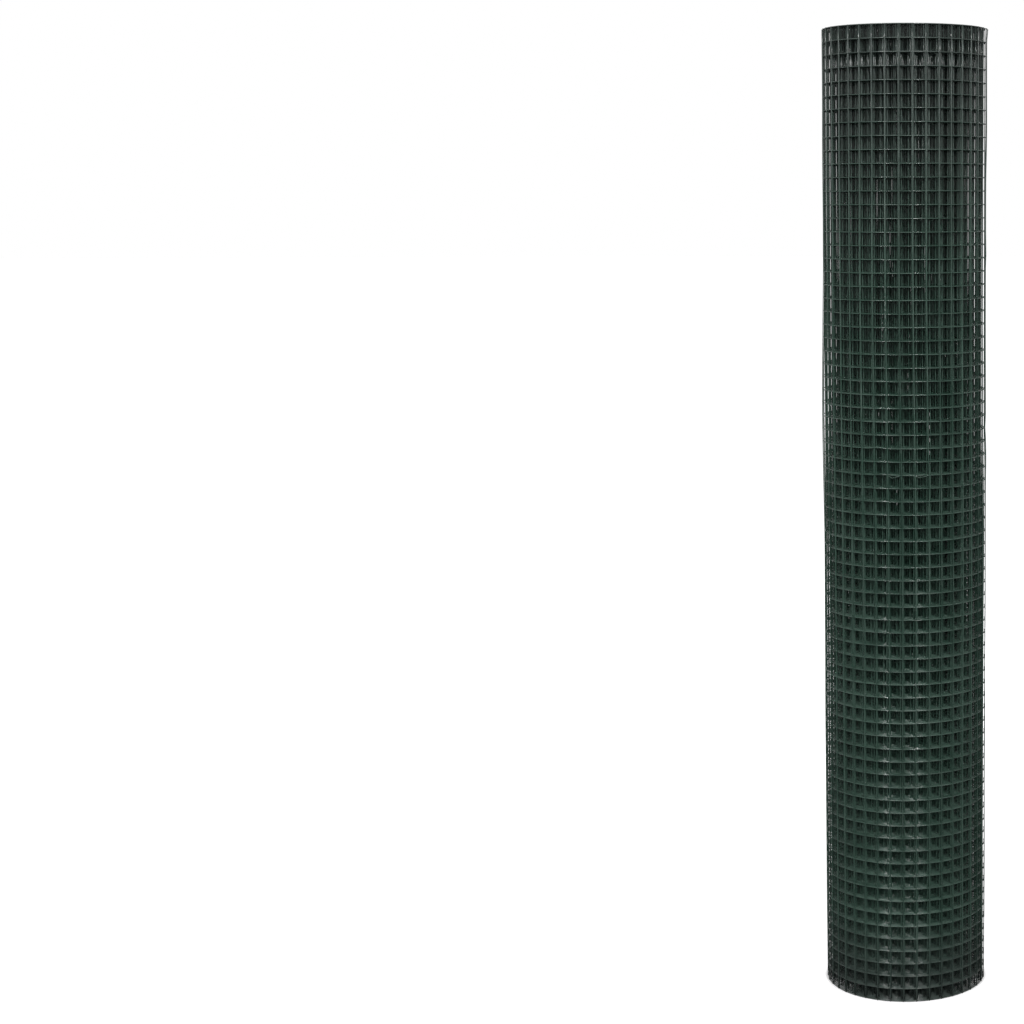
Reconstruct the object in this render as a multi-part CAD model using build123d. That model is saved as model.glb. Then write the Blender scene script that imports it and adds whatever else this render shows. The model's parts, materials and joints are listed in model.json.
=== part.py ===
from build123d import *
import math
import os

# A roll of welded wire mesh, one metre wide, standing on its end.
# The axis of the roll is +Z and its lower end lies in the plane Z = 0, with the origin in the middle
# of the bore. The mesh is line wires, which run round and round the roll, and straight cross wires,
# which run from end to end and are welded to the outside of the line wires.
# The wound mesh is one turned solid: its wall is filled to the outside of the wires.
# Both ends show where the mesh was wound on itself: each turn ends in the ridge of its edge wire,
# and the air between two turns is a groove beside it.

# Driving dimensions, in millimetres
bore_diameter = 67.0      # the mandrel that the mesh was wound on
wire_diameter = 0.9       # one wire, over its plastic coating
turn_count = 28           # times that the mesh goes round
turn_slack = 0.08         # air left where two turns are closest
line_wire_count = 75      # line wires across the width of the mesh, the two edge wires included
mesh_pitch = 13.5         # from one line wire to the next
groove_depth = 3.0        # how deep the gap between two turns is cut into each end

# One turn is a line wire with the cross wires lying outside it
turn_thickness = 2 * wire_diameter
turn_pitch = turn_thickness + turn_slack

bore_radius = bore_diameter / 2
outer_radius = bore_radius + turn_count * turn_pitch - turn_slack
roll_height = (line_wire_count - 1) * mesh_pitch + wire_diameter


def end_outline(end_height, inward):
    """Radius and height of each corner of one wound end, from the bore to the outside.

    The first turn is flat across its edge wire, so that the bore runs the full height.
    Each turn after it is a V groove and then the ridge along the middle of its edge wire.
    The last turn is flat out to the cut ends of its cross wires, and the roll stands on it.
    inward is -1 where the grooves go down from the upper end, and +1 at the lower end.
    """
    groove_floor = end_height + inward * groove_depth
    corners = [(bore_radius, end_height), (bore_radius + wire_diameter, end_height)]
    for turn in range(1, turn_count):
        turn_start = bore_radius + turn * turn_pitch
        middle_of_gap = turn_start - (turn_pitch - wire_diameter) / 2
        corners.append((middle_of_gap, groove_floor))
        if turn < turn_count - 1:
            corners.append((turn_start + wire_diameter / 2, end_height))
    corners.append((turn_start, end_height))
    corners.append((outer_radius, end_height))
    return corners


def wound_mesh():
    """The whole roll: its half section, turned once round the axis."""
    lower_end = end_outline(0, 1)
    upper_end = end_outline(roll_height, -1)
    outline = lower_end + upper_end[::-1]
    half_section = Plane.XZ * make_face(Polyline(*outline, close=True))
    return revolve(half_section, axis=Axis.Z)


roll = wound_mesh()

os.makedirs("parts", exist_ok=True)
export_step(roll, "parts/mesh_roll.step")

mesh_length = math.pi * (outer_radius**2 - bore_radius**2) / turn_pitch
print(f"roll {2 * outer_radius:.2f} mm across, {roll_height:.2f} mm high, bore {bore_diameter:.1f} mm")
print(f"{turn_count} turns at {turn_pitch:.2f} mm hold about {mesh_length / 1000:.2f} m of mesh")
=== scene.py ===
# %% [markdown]
# # A roll of welded wire mesh
# The real thing is one length of small-grid welded mesh, coated in green plastic and wound on itself.
# Line wires run round and round the roll. Straight cross wires run from end to end and are welded to
# the outside of the line wires. Everything that the eye sees is wire: through each square cell the
# next turn shows, and through that one the next, until the roll is too dark to see into. Only wire
# shows that depth, so every wire is modelled.

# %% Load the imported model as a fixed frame
import bpy
import json
import math
import numpy as np
from mathutils import Matrix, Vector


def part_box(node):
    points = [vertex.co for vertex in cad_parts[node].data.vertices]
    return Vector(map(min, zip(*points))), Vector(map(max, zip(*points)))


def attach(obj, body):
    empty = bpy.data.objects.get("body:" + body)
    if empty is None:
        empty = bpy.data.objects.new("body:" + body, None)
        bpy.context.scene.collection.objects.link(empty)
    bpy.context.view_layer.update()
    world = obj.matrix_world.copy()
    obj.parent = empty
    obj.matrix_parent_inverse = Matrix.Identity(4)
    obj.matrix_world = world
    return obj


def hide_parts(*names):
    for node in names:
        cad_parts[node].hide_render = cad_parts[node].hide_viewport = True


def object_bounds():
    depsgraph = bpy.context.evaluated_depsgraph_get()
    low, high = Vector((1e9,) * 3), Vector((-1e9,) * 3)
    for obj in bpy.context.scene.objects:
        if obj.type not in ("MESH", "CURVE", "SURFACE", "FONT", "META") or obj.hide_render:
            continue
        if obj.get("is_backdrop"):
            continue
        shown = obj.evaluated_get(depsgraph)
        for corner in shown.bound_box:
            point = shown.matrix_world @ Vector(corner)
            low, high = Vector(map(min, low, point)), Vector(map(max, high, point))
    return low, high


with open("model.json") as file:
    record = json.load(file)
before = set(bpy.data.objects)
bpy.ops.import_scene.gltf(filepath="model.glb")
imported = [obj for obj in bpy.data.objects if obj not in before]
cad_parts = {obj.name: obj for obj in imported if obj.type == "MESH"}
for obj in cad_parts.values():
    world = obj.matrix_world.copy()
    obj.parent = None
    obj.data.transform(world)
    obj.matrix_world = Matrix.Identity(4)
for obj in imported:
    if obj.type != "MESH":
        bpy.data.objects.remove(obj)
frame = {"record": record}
cad_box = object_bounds()
box_low, box_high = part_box("mesh_roll")
MM = 0.001
ROLL_HEIGHT = box_high.z
OUTER_LIMIT = box_high.x
mounts = {mount["name"]: mount for mount in frame["record"]["mounts"]}
BORE_RADIUS = mounts["core_bore"]["dims"]["r_mm"] * MM
print(f"roll {ROLL_HEIGHT:.4f} m high, {OUTER_LIMIT:.4f} m outer and {BORE_RADIUS:.4f} m bore radius")

# %% [markdown]
# ## The mesh before it is wound
# Flat, the mesh is a grid with one coordinate along its length and one across its width. The width is
# the height of the roll. Its wires are counted from the photograph: 75 line wires make 74 cells.

# %% The flat mesh
WIRE = 0.9 * MM
LINE_WIRES = 75
RIM = 0.5 * MM                # from the end of the roll to the middle of its edge wire
line_heights = np.linspace(RIM, ROLL_HEIGHT - RIM, LINE_WIRES)
PITCH = line_heights[1] - line_heights[0]
print(f"{LINE_WIRES} line wires {PITCH / MM:.2f} mm apart")

# %% [markdown]
# ## Winding it
# Wound with even tension, the mesh follows a spiral whose radius grows by one turn pitch each turn.
# The length wound up to a radius is the area of the ring so far, divided by the turn pitch. Solved for
# the radius, that gives every point of the flat mesh its place on the roll in one array operation.

# %% The spiral
TURNS = 28
SILHOUETTE = 85.5 * MM        # outside of the cross wires of the last turn, where it lies tight
LAST_CROSS_WIRE = math.radians(91.57)   # where the mesh ends, turned from the front (-Y) towards +X
CROSS_PITCH = 13.8075 * MM    # from one cross wire to the next
first_radius = BORE_RADIUS + WIRE / 2
last_radius = SILHOUETTE - 1.5 * WIRE
turn_pitch = (last_radius - first_radius) / TURNS
growth = turn_pitch / (2 * math.pi)
mesh_length = (last_radius**2 - first_radius**2) / (2 * growth)


def spiral(length):
    """Radius and azimuth of the line wires' middle, at a length along the mesh.

    The radius is the root of first_radius² + 2 · growth · length. The azimuth is counted from the
    front towards +X, and grows by a whole turn each time that the radius grows by turn_pitch.
    """
    radius = np.sqrt(first_radius**2 + 2 * growth * length)
    return radius, LAST_CROSS_WIRE - (last_radius - radius) / growth


def turns_under(length):
    """How many turns under the last one the mesh lies, at a length along it."""
    return (last_radius - spiral(length)[0]) / turn_pitch


cross_lengths = mesh_length - CROSS_PITCH * np.arange(int(mesh_length / CROSS_PITCH))[::-1]
print(f"{mesh_length:.2f} m of mesh, {turn_pitch / MM:.3f} mm a turn, {len(cross_lengths)} cross wires")

# %% [markdown]
# ## How a real roll departs from the spiral
# A perfect spiral looks drawn. In the real roll no turn lies quite like the last, so the cross wires of
# one turn show beside those of another. The free end is a little slack, with a curled upper corner, and
# two line wires have been knocked out of their rows. All of it is written as one smooth displacement of
# the whole mesh, so that line wires and cross wires stay welded to each other.

# %% Hills, ramps and waves
rng = np.random.default_rng(2)


def hill(x, middle, half_width):
    """1 at its middle and 0 beyond its half width, with a squared cosine between."""
    return np.cos(np.clip((x - middle) / half_width, -1, 1) * math.pi / 2) ** 2


def ramp(x, start, end):
    """0 before start and 1 after end, with the cubic 3t² - 2t³ between."""
    t = np.clip((x - start) / (end - start), 0, 1)
    return t * t * (3 - 2 * t)


def wave_set(count, cell_length, cell_height):
    """Frequencies and phases of count sine waves about as long and as high as the cell given."""
    slant = rng.uniform(-1, 1, (count, 2)) / (cell_length, cell_height)
    return 2 * math.pi * slant, rng.uniform(0, 2 * math.pi, count)


def waves(wave, length, height):
    """Sum of the waves, each the sine of a slanted plane over the flat mesh, scaled to about ±1."""
    slopes, phases = wave
    total = sum(np.sin(a * length + b * height + p) for (a, b), p in zip(slopes, phases))
    return total / math.sqrt(len(phases))


# %% Waves of the mesh
broad_waves = wave_set(7, 0.30, 0.45)
short_waves = wave_set(9, 0.07, 0.09)
rise_waves = wave_set(9, 0.09, 0.35)
lean_waves = wave_set(7, 0.11, 0.40)
settling_waves = wave_set(16, 0.30, 0.20)
SWELL = 0.16 * MM          # how far broad waves move the last turn in and out
RIPPLE = 0.08 * MM         # how far short waves do
RISE = 0.16 * MM           # how far line wires wander up and down
SWAY = 0.20 * MM           # how far cross wires wander to either side
SETTLING = 0.4 * MM        # how far inner turns slip along themselves from one place to the next
LEAN = 2.9 * MM            # how far to the left the cross wires' upper part stands
BEND = 1.9 * MM            # how far one cross wire and its neighbours are bent to the right


# %% Places out of true
KNOCKED_ROW = 41           # the line wire that is most out of its row, counted from the floor
FREE_END_LENGTH = 26 * MM  # how much of the free end lifts off


def beside(length, azimuth, half_width):
    """A hill over an angle round the last turn. azimuth and half_width are in degrees."""
    angle = LAST_CROSS_WIRE - (mesh_length - length) / last_radius
    return hill(angle, math.radians(azimuth), math.radians(half_width))


def slackness(length):
    """1 on the last turn, falling to 0 over the two turns under it."""
    turns_down = (mesh_length - length) / (2 * math.pi * last_radius)
    return 1 - ramp(turns_down, 0.9, 2.6)


def free_end(length, height):
    """How far the free end stands out: tight over its upper part, with a curled upper corner."""
    near_end = ramp(length, mesh_length - FREE_END_LENGTH, mesh_length)
    curl = 1.3 * hill(height, ROLL_HEIGHT, 3 * MM) - 1.2 * hill(height, ROLL_HEIGHT - 6 * MM, 6 * MM)
    bumps = 0.6 * hill(height, 0.777, 0.012) - 0.6 * hill(height, 0.592, 0.012)
    bulge = 0.4 * hill(height, 0.56, 0.03)
    tight = ramp(height, 0.45, 0.75) - 0.7 * ramp(height, 0.84, 0.90)
    return MM * (near_end * (curl + bumps + bulge) - beside(length, 92, 45) * tight)


def loose_side(length, height):
    """How far the last turn stands out on its left side: loose at mid height and tight near the top."""
    loose = 1.2 * hill(height, 0.61, 0.14) + 0.2 * hill(height, 0.25, 0.2)
    return MM * beside(length, -90, 50) * (loose - 0.9 * ramp(height, 0.70, 0.78))


def knocked(length, height):
    """How far up the two knocked line wires are bent: the lower one rises and then dips beside the rise,
    and the other rises in one place."""
    row = hill(height, line_heights[KNOCKED_ROW], 0.7 * PITCH)
    dent = 1.6 * beside(length, -16, 5) - 2.8 * beside(length, -8, 5) - 2.2 * beside(length, 11, 6)
    step = hill(height, line_heights[KNOCKED_ROW + 2], 0.7 * PITCH) * 1.3 * beside(length, -19, 8)
    return MM * (row * dent + step)


# %% Slip from turn to turn
# How far the mesh has slipped round the roll, in mm: at every half turn from the free end to the ninth
# turn under it, and then at every whole turn
SLIPS = [
    0, 3.0, 5.0, 7.8, 4.4, 7.0, 6.6, 5.4, 5.5, 5.8, 6.2, 6.4, 5.9, 5.2, 4.8, 4.5, 4.1, 2.5, 0.9,
    1.5, -1.6, -1.3, 4.5, -2.7, -0.4, 4.3, 0.8, -1.2, 4.2, 3.2, -1.6, -1.5, 2.9, -2.7, -2.7,
    2.9, 2.2, -2.7,
]
SLIP_TURNS = np.append(np.arange(0, 9.1, 0.5), np.arange(10, 29))
# How much further each whole turn has slipped at the upper end, where the cross wires fan out
FAN_SLIPS = [
    0, 1.9, -2.6, 0.2, -1.0, -1.6, 2.6, -1.1, 0.4, 0.4, -2.6, 2.5, -1.1, 0.2, 1.3,
    -0.5, 2.6, -1.5, 0.6, -0.7, -0.5, 1.2, 1.3, 0.3, 0.3, -2.5, 2.6, 2.4, -0.1,
]
FAN_TURNS = np.append(0.8, np.arange(1, 29))
FAN_START, FAN_FULL = 0.94, 0.99   # heights between which the fan opens


def slip(length, height):
    """How far the mesh has slipped round the roll: straight lines between the slips of the turns, and a
    second set that comes in over the uppermost cells."""
    under = turns_under(length)
    fan = ramp(height, FAN_START, FAN_FULL) * np.interp(under, FAN_TURNS, FAN_SLIPS)
    return MM * (np.interp(under, SLIP_TURNS, SLIPS) + fan)


# %% Every point of the roll
LEAN_START, LEAN_FULL = 0.40, 0.84   # heights between which the cross wires lean over


def wound(length, height, lift=0.0):
    """Points of the roll for points of the flat mesh, as an array with x, y, z last.

    The spiral gives radius and azimuth, and lift is added to the radius. Waves shift each point
    outwards, upwards and along the turn, with wide ones all through and fine ones on the last turn. The
    turns' slip, the lean of the cross wires and one bend in them are added along the turn. The upward
    shift is nothing at the two ends, where the edge wires are level.
    """
    radius, azimuth = spiral(length)
    slack = slackness(length)
    swell = SWELL * waves(broad_waves, length, height) * (radius / last_radius) ** 2
    ripple = RIPPLE * waves(short_waves, length, height) * slack
    departure = swell + ripple + free_end(length, height) + loose_side(length, height)
    radius = np.minimum(radius + lift + departure, OUTER_LIMIT - 0.55 * WIRE)
    lean = -LEAN * ramp(height, LEAN_START, LEAN_FULL) * (0.4 + 0.6 * slack)
    loose = 0.12 * (1 - slack) + 0.88 * ramp(turns_under(length), 1, 9)
    settling = SETTLING * waves(settling_waves, length, height) * loose
    bent = BEND * beside(length, 17, 5) * hill(height, 0.548, 0.032)
    sway = SWAY * waves(lean_waves, length, height)
    azimuth = azimuth + (lean + settling + bent + slip(length, height) + sway) / radius
    clear_of_ends = np.clip(np.minimum(height, ROLL_HEIGHT - height) / (2 * PITCH), 0, 1)
    rise = (RISE * waves(rise_waves, length, height) + knocked(length, height)) * clear_of_ends
    return np.stack([radius * np.sin(azimuth), -radius * np.cos(azimuth), height + rise], -1)


rim = wound(cross_lengths[-1:], line_heights[-1:])[0]
print("the free end of the upper edge wire lies at", rim.round(4).tolist(), "m")


# %% [markdown]
# ## From paths to wires
# A wire is a round tube along its path. The rings of all wires of a group are worked out at once:
# at each point of a path, the tangent and the direction away from the roll's axis give two axes, and a
# few points round them make the ring. Four or six sides are enough at this size, because smooth
# shading rounds them. The ring is made a little larger, so that the flat sides take nothing away
# from the wire's width.

# %% Rings along many paths at once
def unit(vectors):
    """The vectors at length 1."""
    return vectors / np.linalg.norm(vectors, axis=-1, keepdims=True)


def rings(paths, sides, radius):
    """Rings of points along paths, given as wires × points × 3. Returns wires × points × sides × 3.

    A ring point is the path's point plus radius · (cos a · out + sin a · side). The side is across both
    the tangent and the direction from the axis, and out is across the tangent and the side. The first
    point lies at the side, so that a wire of few sides is seen at its full width from outside. The
    radius is widened by pi / (sides · sin(pi / sides)), at which the polygon's mean width is the wire's.
    """
    tangent = unit(np.gradient(paths, axis=1))
    from_axis = paths * (1, 1, 0)
    side = unit(np.cross(tangent, from_axis))
    out = np.cross(side, tangent)
    angle = math.pi / 2 + 2 * math.pi * np.arange(sides) / sides
    widened = radius * math.pi / (sides * math.sin(math.pi / sides))
    turned = np.cos(angle)[:, None] * out[..., None, :] + np.sin(angle)[:, None] * side[..., None, :]
    return paths[..., None, :] + widened * turned


# %% Walls and ends of the tubes
CORE_SHARE = 0.76          # steel core, as a share of the coated wire


def tube_faces(wires, points, sides):
    """Quads of the tubes' walls, as indices into rings' points, turned to face outwards."""
    number = np.arange(wires * points * sides).reshape(wires, points, sides)
    after = np.roll(number, -1, axis=2)
    quads = [number[:, :-1], after[:, :-1], after[:, 1:], number[:, 1:]]
    return np.stack(quads, -1).reshape(-1, 4)


def cut_ends(ring_points, first_index):
    """Flat ends of the tubes: a ring of coating and the steel core in it.

    The inner ring of points is the outer one drawn towards its middle by CORE_SHARE. Returns the
    new points, the quads of the coating and the polygons of the core.
    """
    wires, points, sides, _ = ring_points.shape
    ends = ring_points[:, [0, -1]]
    middle = ends.mean(axis=2, keepdims=True)
    inner = middle + CORE_SHARE * (ends - middle)
    number = np.arange(wires * points * sides).reshape(wires, points, sides)[:, [0, -1]]
    inner_number = first_index + np.arange(wires * 2 * sides).reshape(wires, 2, sides)
    quads = np.stack([number, np.roll(number, -1, 2), np.roll(inner_number, -1, 2), inner_number], -1)
    quads[:, 0] = quads[:, 0, :, ::-1]
    core = inner_number.copy()
    core[:, 0] = core[:, 0, ::-1]
    return inner.reshape(-1, 3), quads.reshape(-1, 4), core.reshape(-1, sides)


# %% A mesh from arrays
COATING, CORE = 0, 1       # material slots of every wire piece


def new_piece(name, points, face_groups, notes):
    """A mesh object from whole arrays.

    face_groups is a list of (faces, slot, smooth), with all faces of a group the same length. notes is
    {name: one number for each point}, which the materials read.
    """
    mesh = bpy.data.meshes.new(name)
    mesh.vertices.add(len(points))
    mesh.vertices.foreach_set("co", points.astype(np.float32).ravel())
    sizes = np.concatenate([np.full(len(f), f.shape[1]) for f, _, _ in face_groups])
    mesh.loops.add(int(sizes.sum()))
    corners = np.concatenate([f.ravel() for f, _, _ in face_groups])
    mesh.loops.foreach_set("vertex_index", corners.astype(np.int32))
    mesh.polygons.add(len(sizes))
    mesh.polygons.foreach_set("loop_start", (np.cumsum(sizes) - sizes).astype(np.int32))
    slots = np.concatenate([np.full(len(f), slot) for f, slot, _ in face_groups])
    smooth = np.concatenate([np.full(len(f), is_smooth) for f, _, is_smooth in face_groups])
    mesh.polygons.foreach_set("material_index", slots.astype(np.int32))
    mesh.polygons.foreach_set("use_smooth", smooth)
    mesh.update(calc_edges=True)
    for label, numbers in notes.items():
        attribute = mesh.attributes.new(label, "FLOAT", "POINT")
        attribute.data.foreach_set("value", numbers.astype(np.float32))
    piece = bpy.data.objects.new(name, mesh)
    bpy.context.scene.collection.objects.link(piece)
    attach(piece, "root")
    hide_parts("mesh_roll")
    mesh.calc_loop_triangles()
    print(f"{name}: {len(mesh.loop_triangles)} triangles")
    return piece


def wire_piece(name, length, height, sides, lift=0.0):
    """One round wire, with cut ends, along each path. length and height are wires × points arrays."""
    paths = wound(length, height, lift)
    ring_points = rings(paths, sides, WIRE / 2)
    wires, points = length.shape
    walls = tube_faces(wires, points, sides)
    inner, coating, core = cut_ends(ring_points, wires * points * sides)
    tone = rng.uniform(0, 1, (wires, 1))
    notes = {"wire_tone": np.concatenate([np.repeat(tone, points * sides), np.repeat(tone, 2 * sides)])}
    every_point = np.concatenate([ring_points.reshape(-1, 3), inner])
    groups = [(walls, COATING, True), (coating, COATING, False), (core, CORE, False)]
    return new_piece(name, every_point, groups, notes)


# %% [markdown]
# ## The line wires
# Only the last turns are seen close up, so they get the most points: three to a cell on the last turn,
# two on the three turns under it, and one at each weld further in. The two edge wires show on the ends
# of the roll from the bore outwards, and are fine all the way.

# %% Line wires
SINK = 0.18 * WIRE         # how far welding sinks a cross wire into the line wires
STUB = 1.6 * MM            # what is left of each line wire past the last cross wire
FINE, COARSE = 6, 4        # sides of the wires that are seen close up, and of those further in


def turn_start(turns_down):
    """Number of the first cross wire of the outermost turns_down turns."""
    length = 2 * math.pi * (last_radius - turns_down * turn_pitch / 2) * turns_down
    return int(np.searchsorted(cross_lengths, mesh_length - length))


def along_mesh(first, last, per_cell):
    """Lengths from cross wire number first to last, with per_cell steps to a cell."""
    knots = np.arange(first, last + 1e-9, 1 / per_cell)
    return np.interp(knots, np.arange(len(cross_lengths)), cross_lengths)


def line_wires(name, rows, lengths, sides):
    """The line wires of the given rows, over the given lengths of the mesh."""
    length, height = np.broadcast_arrays(lengths[None, :], line_heights[rows][:, None])
    return wire_piece(name, length, height, sides)


last = len(cross_lengths) - 1
last_turn, upper_turns = turn_start(1.05), turn_start(4.1)
halfway = upper_turns // 2
edge_rows, inner_rows = np.array([0, LINE_WIRES - 1]), np.arange(1, LINE_WIRES - 1)
end_stub = np.array([mesh_length + STUB])
last_lengths = np.append(along_mesh(last_turn, last, 3), end_stub)
wire_pieces = [
    line_wires("line_wires_last_turn", inner_rows, last_lengths, FINE),
    line_wires("line_wires_outer_turns", inner_rows, along_mesh(upper_turns, last_turn, 2), COARSE),
    line_wires("line_wires_middle_turns", inner_rows, along_mesh(halfway, upper_turns, 1), COARSE),
    line_wires("line_wires_inner_turns", inner_rows, along_mesh(0, halfway, 1), COARSE),
    line_wires("edge_wires", edge_rows, np.append(along_mesh(0, last, 4), end_stub), FINE),
]

# %% [markdown]
# ## The cross wires
# They are straight wires on the outside of the line wires. Where they are welded on, each sinks
# a little into the wire under it. Their ends are cut flush with the edge wires and show the steel.

# %% Cross wires
CUT = 0.08 * MM            # from the end of the roll to the cut ends of its cross wires
BROKEN_OFF = 62 * MM       # the last cross wire has come off below this height


def cross_wires(name, numbers, steps, sides):
    """The cross wires of the given numbers, each in steps pieces from end to end."""
    start = np.where(numbers == last, BROKEN_OFF, CUT)[:, None]
    height = start + (ROLL_HEIGHT - CUT - start) * np.linspace(0, 1, steps + 1)
    length = cross_lengths[numbers][:, None] + 0 * height
    return wire_piece(name, length, height, sides, lift=WIRE - SINK)


cells = LINE_WIRES - 1
wire_pieces += [
    cross_wires("cross_wires_last_turn", np.arange(last_turn, last + 1), cells, FINE),
    cross_wires("cross_wires_outer_turns", np.arange(upper_turns, last_turn), cells // 2, COARSE),
    cross_wires("cross_wires_inner_turns", np.arange(0, upper_turns), cells // 3, COARSE),
]


# %% [markdown]
# ## The welds
# Where two wires are welded, the coating closes over the joint in a small soft lump. The lumps catch
# the light, so the last turn has one at every crossing. Each is the same low, rounded form, copied to
# all crossings by adding arrays.

# %% The form of a lump
def lump_form(rows=3, columns=6):
    """A closed ball of rows + 1 bands: points of unit length, and its triangles.

    The points are rows rings at even polar angles and the two poles. Each point is
    (sin p cos q, sin p sin q, cos p) for a polar angle p and an angle q round the ball.
    """
    polar = math.pi * np.arange(1, rows + 1) / (rows + 1)
    turn = 2 * math.pi * np.arange(columns) / columns
    p, q = np.meshgrid(polar, turn, indexing="ij")
    body = np.stack([np.sin(p) * np.cos(q), np.sin(p) * np.sin(q), np.cos(p)], -1).reshape(-1, 3)
    points = np.concatenate([body, [[0, 0, 1], [0, 0, -1]]])
    number = np.arange(rows * columns).reshape(rows, columns)
    after = np.roll(number, -1, axis=1)
    upper, lower = np.full(columns, rows * columns), np.full(columns, rows * columns + 1)
    faces = [np.stack([upper, number[0], after[0]], -1), np.stack([number[-1], lower, after[-1]], -1)]
    for row in range(rows - 1):
        faces.append(np.stack([number[row], number[row + 1], after[row + 1]], -1))
        faces.append(np.stack([number[row], after[row + 1], after[row]], -1))
    return points, np.concatenate(faces)


# %% Weld lumps
LUMP_LIFT = 0.42 * WIRE              # from the middle of the line wire to the middle of the lump
SMALL_LUMP, LARGE_LUMP = 0.50 * WIRE, 0.62 * WIRE
FLATNESS = 0.95                      # depth of a lump, as a share of its width


def weld_lumps(name, numbers):
    """Lumps at every crossing of the given cross wires, between the two wires' middles."""
    form, triangles = lump_form()
    length = np.repeat(cross_lengths[numbers], len(inner_rows))
    height = np.tile(line_heights[inner_rows], len(numbers))
    middle = wound(length, height, lift=LUMP_LIFT)
    out = unit(middle * (1, 1, 0))
    side = np.stack([-out[:, 1], out[:, 0], np.zeros(len(out))], -1)
    size = rng.uniform(SMALL_LUMP, LARGE_LUMP, (len(out), 1))
    offsets = (
        FLATNESS * form[:, None, 0, None] * out
        + form[:, None, 1, None] * side
        + form[:, None, 2, None] * np.array([0, 0, 1.0])
    )
    points = (middle + size * offsets).transpose(1, 0, 2).reshape(-1, 3)
    first = len(form) * np.arange(len(out))
    faces = (triangles[None] + first[:, None, None]).reshape(-1, 3)
    notes = {"wire_tone": np.repeat(rng.uniform(0, 1, len(out)), len(form))}
    return new_piece(name, points, [(faces, COATING, True)], notes)


wire_pieces.append(weld_lumps("weld_lumps", np.arange(turn_start(1.0), last + 1)))

# %% [markdown]
# ## The finish
# The coating is a dark green plastic with a soft gloss. It is drawn over the wire and is never even:
# some wires are a little lighter, the surface has a slight grain, a little dust lies on what faces up,
# and the crowns of the outer wires are rubbed dull where rolls are stacked. Both ends are painted grey:
# painted shade at the foot and a painted grey sheen at the head. Each effect is a node group with
# named inputs, so that wires and weld lumps can share them with values of their own.

# %% Node helpers
PLAIN_GREEN = (0.02, 0.08, 0.055, 1)   # what a group's colour input holds until something feeds it


def new_group(name, inputs, outputs):
    """An empty shader node group with its sockets. inputs is {name: default}, outputs {name: kind}."""
    group = bpy.data.node_groups.new(name, "ShaderNodeTree")
    for label, default in inputs.items():
        kind = "NodeSocketColor" if isinstance(default, tuple) else "NodeSocketFloat"
        socket = group.interface.new_socket(label, in_out="INPUT", socket_type=kind)
        socket.default_value = default
    for label, kind in outputs.items():
        group.interface.new_socket(label, in_out="OUTPUT", socket_type=kind)
    return group, group.nodes.new("NodeGroupInput"), group.nodes.new("NodeGroupOutput")


def node(tree, kind, links=None, **settings):
    """A node of a tree, with its settings. links is {input: value or the socket that feeds it}."""
    made = tree.nodes.new(kind)
    for label, value in settings.items():
        setattr(made, label, value)
    for label, value in (links or {}).items():
        if isinstance(value, bpy.types.NodeSocket):
            tree.links.new(value, made.inputs[label])
        else:
            made.inputs[label].default_value = value
    return made


def maths(tree, operation, first, second=0.0, clamp=False):
    """The output of a Math node."""
    made = node(tree, "ShaderNodeMath", {0: first, 1: second}, operation=operation, use_clamp=clamp)
    return made.outputs[0]


def mixed(tree, amount, first, second):
    """The colour output of a Mix node: first where amount is 0, second where it is 1."""
    made = node(tree, "ShaderNodeMix", {0: amount, 6: first, 7: second}, data_type="RGBA")
    return made.outputs[2]


def noise(tree, scale, detail=3.0, roughness=0.55):
    """The value of a noise texture on Object coordinates."""
    place = node(tree, "ShaderNodeTexCoord").outputs["Object"]
    texture = node(tree, "ShaderNodeTexNoise", {"Vector": place, "Scale": scale, "Detail": detail,
                                                "Roughness": roughness})
    return texture.outputs["Fac"]


def ranged(tree, value, low, high, to_low=0.0, to_high=1.0):
    """A value remapped from low..high to to_low..to_high, and held at its ends."""
    made = node(tree, "ShaderNodeMapRange", {"Value": value, "From Min": low, "From Max": high,
                                             "To Min": to_low, "To Max": to_high}, clamp=True)
    return made.outputs["Result"]


# %% Colour and gloss of the drawn coating
def coating_group():
    """Colour from one wire to the next and along each wire, with a roughness that follows it."""
    group, given, result = new_group(
        "drawn_coating",
        {"Colour": PLAIN_GREEN, "Light Colour": (0.04, 0.12, 0.09, 1), "Wire Spread": 0.8,
         "Patch Size": 40.0, "Roughness": 0.35},
        {"Colour": "NodeSocketColor", "Roughness": "NodeSocketFloat"},
    )
    tone = node(group, "ShaderNodeAttribute", attribute_name="wire_tone").outputs["Fac"]
    patches = noise(group, given.outputs["Patch Size"], 4.0)
    by_wire = maths(group, "MULTIPLY", tone, given.outputs["Wire Spread"])
    by_patch = ranged(group, patches, 0.35, 0.7, 0.0, 0.6)
    amount = maths(group, "ADD", by_wire, by_patch, clamp=True)
    colour = mixed(group, amount, given.outputs["Colour"], given.outputs["Light Colour"])
    uneven = ranged(group, patches, 0.3, 0.7, -0.07, 0.10)
    group.links.new(colour, result.inputs["Colour"])
    group.links.new(maths(group, "ADD", given.outputs["Roughness"], uneven), result.inputs["Roughness"])
    return group


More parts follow.
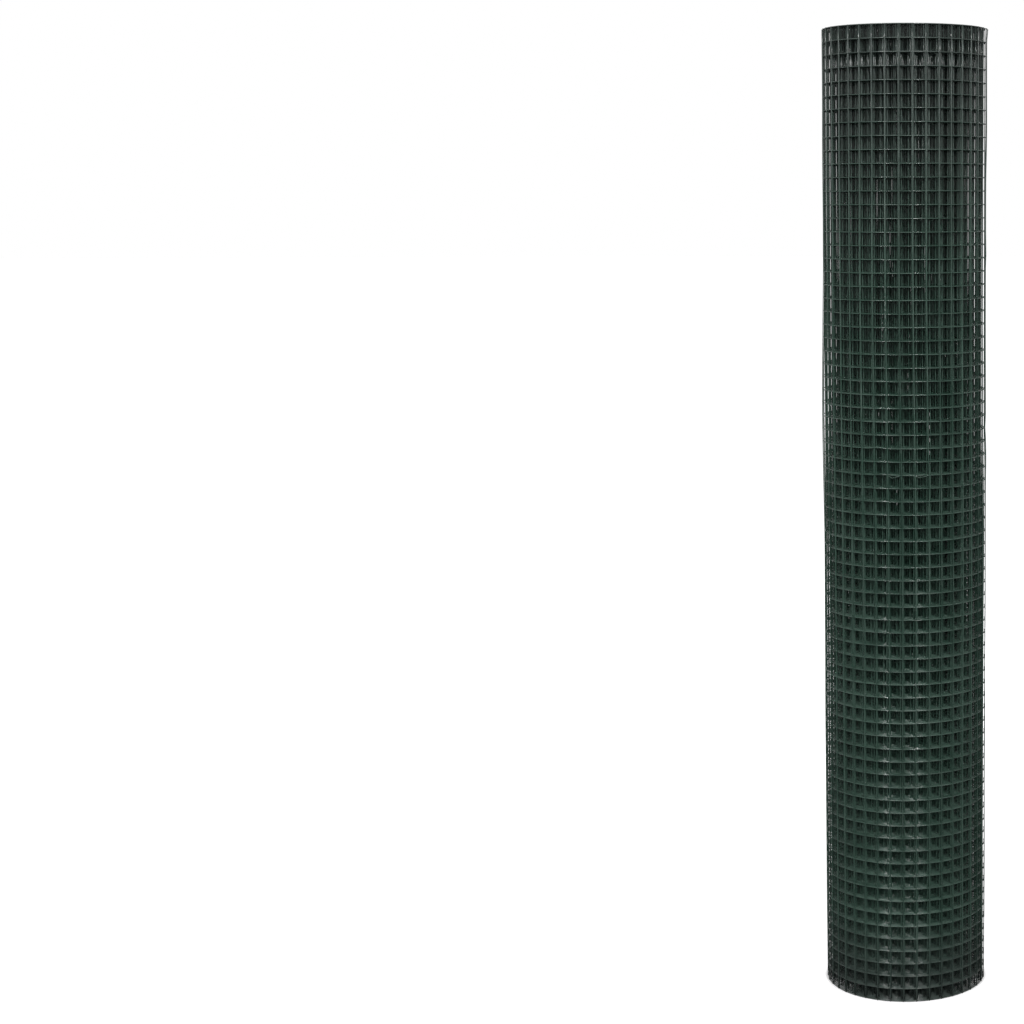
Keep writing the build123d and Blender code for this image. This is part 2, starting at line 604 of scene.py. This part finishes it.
# %% Dust on what faces up
def dust_group():
    """Lays a dust colour over what faces up, in patches, and says how much lies where."""
    group, given, result = new_group(
        "settled_dust",
        {"Colour": PLAIN_GREEN, "Dust Colour": (0.30, 0.31, 0.28, 1), "Amount": 0.3},
        {"Colour": "NodeSocketColor", "Dust": "NodeSocketFloat"},
    )
    normal = node(group, "ShaderNodeNewGeometry").outputs["Normal"]
    up = node(group, "ShaderNodeSeparateXYZ", {0: normal}).outputs["Z"]
    facing = ranged(group, up, 0.25, 0.95)
    patchy = ranged(group, noise(group, 90.0, 5.0, 0.65), 0.38, 0.68)
    dust = maths(group, "MULTIPLY", maths(group, "MULTIPLY", facing, patchy), given.outputs["Amount"])
    group.links.new(mixed(group, dust, given.outputs["Colour"], given.outputs["Dust Colour"]),
                    result.inputs["Colour"])
    group.links.new(dust, result.inputs["Dust"])
    return group


# %% Rubbed crowns
def rubbing_group():
    """How much a point is rubbed: its normal faces away from the roll's axis, it lies on the outermost
    wires, and a noise leaves most places untouched."""
    group, given, result = new_group(
        "rubbed_crown", {"Amount": 0.4, "Inner Radius": 0.081, "Outer Radius": 0.0825},
        {"Rub": "NodeSocketFloat"},
    )
    place = node(group, "ShaderNodeTexCoord").outputs["Object"]
    flat = node(group, "ShaderNodeVectorMath", {0: place, 1: (1, 1, 0)}, operation="MULTIPLY").outputs[0]
    radius = node(group, "ShaderNodeVectorMath", {0: flat}, operation="LENGTH").outputs["Value"]
    out = node(group, "ShaderNodeVectorMath", {0: flat}, operation="NORMALIZE").outputs[0]
    normal = node(group, "ShaderNodeNewGeometry").outputs["Normal"]
    facing = node(group, "ShaderNodeVectorMath", {0: normal, 1: out}, operation="DOT_PRODUCT")
    crown = ranged(group, facing.outputs["Value"], 0.6, 0.97)
    span = node(group, "ShaderNodeMapRange", {"Value": radius, "From Min": given.outputs["Inner Radius"],
                                              "From Max": given.outputs["Outer Radius"]}, clamp=True)
    patchy = ranged(group, noise(group, 22.0, 6.0, 0.7), 0.5, 0.66)
    rub = maths(group, "MULTIPLY", maths(group, "MULTIPLY", crown, span.outputs["Result"]), patchy)
    group.links.new(maths(group, "MULTIPLY", rub, given.outputs["Amount"]), result.inputs["Rub"])
    return group


# %% Grey ends
def end_shade_and_sheen_group():
    """Turns the colour grey near both ends: painted shade at the foot and painted sheen at the head."""
    group, given, result = new_group(
        "grey_ends",
        # the grey stands for painted shade at the foot and a painted grey sheen at the head
        {"Colour": PLAIN_GREEN, "Shade And Sheen Colour": (0.031, 0.033, 0.034, 1), "Amount": 0.65,
         "Height": ROLL_HEIGHT, "Foot Reach": 0.09, "Head Reach": 0.22},
        {"Colour": "NodeSocketColor"},
    )
    place = node(group, "ShaderNodeTexCoord").outputs["Object"]
    height = node(group, "ShaderNodeSeparateXYZ", {0: place}).outputs["Z"]
    below_head = maths(group, "SUBTRACT", given.outputs["Height"], height)
    foot = maths(group, "DIVIDE", height, given.outputs["Foot Reach"], clamp=True)
    head = maths(group, "DIVIDE", below_head, given.outputs["Head Reach"], clamp=True)
    near = maths(group, "SUBTRACT", 1.0, maths(group, "MULTIPLY", foot, head), clamp=True)
    amount = maths(group, "MULTIPLY", near, given.outputs["Amount"])
    grey = mixed(group, amount, given.outputs["Colour"], given.outputs["Shade And Sheen Colour"])
    group.links.new(grey, result.inputs["Colour"])
    return group


drawn_coating, settled_dust, rubbed_crown = coating_group(), dust_group(), rubbing_group()
grey_ends = end_shade_and_sheen_group()
print("node groups:", ", ".join(group.name for group in bpy.data.node_groups))

# %% [markdown]
# ## Three materials
# Wires and lumps have the same plastic, with the lumps a little lighter and duller, because the
# coating is thin and burnt there. The cut ends show the galvanised steel core.

# %% Coated wire
GREEN = (0.0115, 0.034, 0.0235, 1)
LIGHT_GREEN = (0.037, 0.073, 0.056, 1)
LUMP_GREEN = (0.036, 0.080, 0.062, 1)
RUBBED = (0.08, 0.11, 0.095, 1)


def coated(name, colour, light_colour, roughness, dust_amount, rub_amount):
    """Coated wire: the drawn coating, with dust and rubbing over it and a fine grain as bump."""
    material = bpy.data.materials.new(name)
    material.use_nodes = True
    tree = material.node_tree
    shader = tree.nodes["Principled BSDF"]
    base = node(tree, "ShaderNodeGroup", node_tree=drawn_coating)
    base.inputs["Colour"].default_value = colour
    base.inputs["Light Colour"].default_value = light_colour
    base.inputs["Roughness"].default_value = roughness
    dusty = node(tree, "ShaderNodeGroup", node_tree=settled_dust)
    dusty.inputs["Amount"].default_value = dust_amount
    # painted shade at the foot and a painted grey sheen at the head of the roll
    shaded_ends = node(tree, "ShaderNodeGroup", {"Colour": base.outputs["Colour"]}, node_tree=grey_ends)
    tree.links.new(shaded_ends.outputs["Colour"], dusty.inputs["Colour"])
    rub = node(tree, "ShaderNodeGroup", node_tree=rubbed_crown)
    rub.inputs["Amount"].default_value = rub_amount
    rubbed = mixed(tree, rub.outputs["Rub"], dusty.outputs["Colour"], RUBBED)
    tree.links.new(rubbed, shader.inputs["Base Color"])
    by_dust = maths(tree, "MULTIPLY", dusty.outputs["Dust"], 0.4)
    by_rub = maths(tree, "MULTIPLY", rub.outputs["Rub"], 0.25)
    dull = maths(tree, "ADD", base.outputs["Roughness"], maths(tree, "ADD", by_dust, by_rub), clamp=True)
    tree.links.new(dull, shader.inputs["Roughness"])
    grain = noise(tree, 1400.0, 2.0)
    bump = node(tree, "ShaderNodeBump", {"Height": grain, "Strength": 0.25, "Distance": 0.0001})
    tree.links.new(bump.outputs["Normal"], shader.inputs["Normal"])
    shader.inputs["IOR"].default_value = 1.5
    shader.inputs["Specular IOR Level"].default_value = 0.7
    return material


# %% Cut steel
STEEL_GREY = (0.42, 0.42, 0.41, 1)
RUST = (0.19, 0.13, 0.09, 1)


def cut_steel():
    """Galvanised steel, sheared: grey metal with a few brown spots, which are duller."""
    material = bpy.data.materials.new("cut_steel")
    material.use_nodes = True
    tree = material.node_tree
    shader = tree.nodes["Principled BSDF"]
    spots = ranged(tree, noise(tree, 500.0, 4.0), 0.52, 0.68)
    colour = mixed(tree, spots, STEEL_GREY, RUST)
    tree.links.new(colour, shader.inputs["Base Color"])
    tree.links.new(ranged(tree, spots, 0, 1, 0.35, 0.75), shader.inputs["Roughness"])
    shader.inputs["Metallic"].default_value = 0.85
    return material


# %% Materials on their pieces
coating = coated("green_coating", GREEN, LIGHT_GREEN, roughness=0.24, dust_amount=0.05, rub_amount=0.5)
weld_coating = coated(
    "weld_coating", LIGHT_GREEN, LUMP_GREEN, roughness=0.30, dust_amount=0.08, rub_amount=0.6
)
steel = cut_steel()
for piece in wire_pieces:
    is_lump = piece.name == "weld_lumps"
    piece.data.materials.append(weld_coating if is_lump else coating)
    piece.data.materials.append(steel)
    print(piece.name, [material.name for material in piece.data.materials])

# %% [markdown]
# ## Floor, light and camera
# The photograph is cut out on white, so the floor is pale and plain, and the world is white to the
# camera and in reflections. Two lamps stand in front, one to each side and a little above. Each row of
# line wires shows a glint from each of them. A weak lamp beside the camera lights what lies deep between
# the wires, and another lights the back of the roll.

# %% Floor
FLOOR_SIZE = 60.0
FLOOR_GREY = (0.80, 0.80, 0.80, 1)    # as the camera sees it
FLOOR_SHADE = (0.18, 0.18, 0.18, 1)   # as it throws light up at the roll
LIFT_NEAR, LIFT_FAR = 0.62, 0.90      # what it glows with up to 0.3 m from the axis, and from 1.5 m on


def floor_material():
    """A pale matt floor that is lifted to white for the camera and still takes a shadow.

    It throws less light up at the roll than the camera sees. It is lifted more with distance from the
    roll, where less lamp light falls, and not at all under it.
    """
    material = bpy.data.materials.new("pale_floor")
    material.use_nodes = True
    tree = material.node_tree
    shader = tree.nodes["Principled BSDF"]
    shader.inputs["Roughness"].default_value = 0.9
    shader.inputs["Specular IOR Level"].default_value = 0.1
    shader.inputs["Emission Color"].default_value = (1, 1, 1, 1)
    seen = node(tree, "ShaderNodeLightPath").outputs["Is Camera Ray"]
    colour = mixed(tree, seen, FLOOR_SHADE, FLOOR_GREY)
    tree.links.new(colour, shader.inputs["Base Color"])
    place = node(tree, "ShaderNodeTexCoord").outputs["Object"]
    from_axis = node(tree, "ShaderNodeVectorMath", {0: place}, operation="LENGTH").outputs["Value"]
    clear_of_roll = ranged(tree, from_axis, OUTER_LIMIT - 3 * MM, OUTER_LIMIT + 2 * MM)
    lift = ranged(tree, from_axis, 0.3, 1.5, LIFT_NEAR, LIFT_FAR)
    lifted = maths(tree, "MULTIPLY", maths(tree, "MULTIPLY", seen, clear_of_roll), lift)
    tree.links.new(lifted, shader.inputs["Emission Strength"])
    return material


bpy.ops.mesh.primitive_plane_add(size=FLOOR_SIZE)
floor = bpy.context.object
floor.name = "floor"
floor.data.materials.append(floor_material())
floor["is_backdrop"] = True
print(f"{floor.name}: {FLOOR_SIZE:.0f} m square")

# %% World
AMBIENT = 0.41             # strength of the world as a light on matt surfaces
OVERHEAD = 0.50            # share of its light that is left high up
world = bpy.data.worlds.new("studio")
bpy.context.scene.world = world
world.use_nodes = True
tree = world.node_tree
background = tree.nodes["Background"]
background.inputs["Color"].default_value = (1, 1, 1, 1)
ray = node(tree, "ShaderNodeLightPath").outputs
direction = node(tree, "ShaderNodeTexCoord").outputs["Generated"]
upward = node(tree, "ShaderNodeSeparateXYZ", {0: direction}).outputs["Z"]
by_height = ranged(tree, upward, 0.12, 0.60, 1.0, OVERHEAD)
mirrored = maths(tree, "MULTIPLY", ray["Is Glossy Ray"], by_height)
seen = maths(tree, "MAXIMUM", ray["Is Camera Ray"], mirrored)
unseen = maths(tree, "SUBTRACT", 1.0, maths(tree, "MAXIMUM", ray["Is Camera Ray"], ray["Is Glossy Ray"]))
ambient = maths(tree, "MULTIPLY", maths(tree, "MULTIPLY", unseen, AMBIENT), by_height)
strength = maths(tree, "ADD", seen, ambient)
tree.links.new(strength, background.inputs["Strength"])
print(f"{world.name}: ambient {AMBIENT}, {OVERHEAD} of it from high up")


# %% Lamps
def soft_lamp(name, azimuth, elevation, distance, size, power):
    """A square area lamp aimed at the middle of the roll, placed by angles from the front."""
    a, e = math.radians(azimuth), math.radians(elevation)
    lamp = bpy.data.lights.new(name, "AREA")
    lamp.shape, lamp.size, lamp.energy = "SQUARE", size, power
    holder = bpy.data.objects.new(name, lamp)
    bpy.context.scene.collection.objects.link(holder)
    target = (box_low + box_high) / 2
    offset = (math.sin(a) * math.cos(e), -math.cos(a) * math.cos(e), math.sin(e))
    holder.location = [t + distance * o for t, o in zip(target, offset)]
    holder.rotation_euler = (target - holder.location).to_track_quat("-Z", "Y").to_euler()
    return holder


soft_lamp("left_lamp", azimuth=-27.6, elevation=27, distance=2.6, size=0.27, power=37)
soft_lamp("right_lamp", azimuth=18.0, elevation=27, distance=2.6, size=0.27, power=37)
front_lamp = soft_lamp("front_lamp", azimuth=0, elevation=10.2, distance=2.25, size=0.12, power=8.5)
back_lamp = soft_lamp("back_lamp", azimuth=172, elevation=30, distance=2.6, size=0.8, power=20)
front_lamp.visible_glossy = False
back_lamp.visible_glossy = False
print("lamps:", ", ".join(f"{lamp.name} {lamp.energy:.1f} W" for lamp in bpy.data.lights))

# %% [markdown]
# The camera was fitted to the 75 line wires and both outlines of the photograph. It faces the roll
# squarely, because the rows of wire sag evenly to both sides, and yet the roll stands at the right of
# the picture. So the picture is a shifted one, and the shift goes on the lens.

# %% Camera
CAMERA_DISTANCE, CAMERA_HEIGHT = 2.208, 0.827
TILTED_DOWN, ROLLED = math.radians(8.303), math.radians(0.126)
PICTURE, FOCAL = 1024, 2127        # width of the picture and focal length, both in its pixels
ROLL_AXIS_X = 904.6                # where the roll's axis stands in the picture
camera_data = bpy.data.cameras.new("camera")
camera_data.sensor_width = 36.0
camera_data.lens = FOCAL / PICTURE * camera_data.sensor_width
camera_data.shift_x = (PICTURE / 2 - ROLL_AXIS_X) / PICTURE
camera_data.clip_end = 50.0
camera = bpy.data.objects.new("camera", camera_data)
bpy.context.scene.collection.objects.link(camera)
upright = math.pi / 2
camera.matrix_world = (
    Matrix.Translation((0, -CAMERA_DISTANCE, CAMERA_HEIGHT))
    @ Matrix.Rotation(upright - TILTED_DOWN, 4, "X")
    @ Matrix.Rotation(-ROLLED, 4, "Z")
)
bpy.context.scene.camera = camera
bpy.context.scene.view_settings.view_transform = "Standard"
print(f"lens {camera_data.lens:.1f} mm, shifted by {camera_data.shift_x:.3f} of the picture's width")

# %% Sizes
visual_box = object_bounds()
below, above = (np.array(visual_box[i]) - np.array(cad_box[i]) for i in (0, 1))
outside = np.maximum(-below, above) / MM
print("outside the CAD box by", outside.round(3).tolist(), "mm in x, y, z; below 0 is inside")
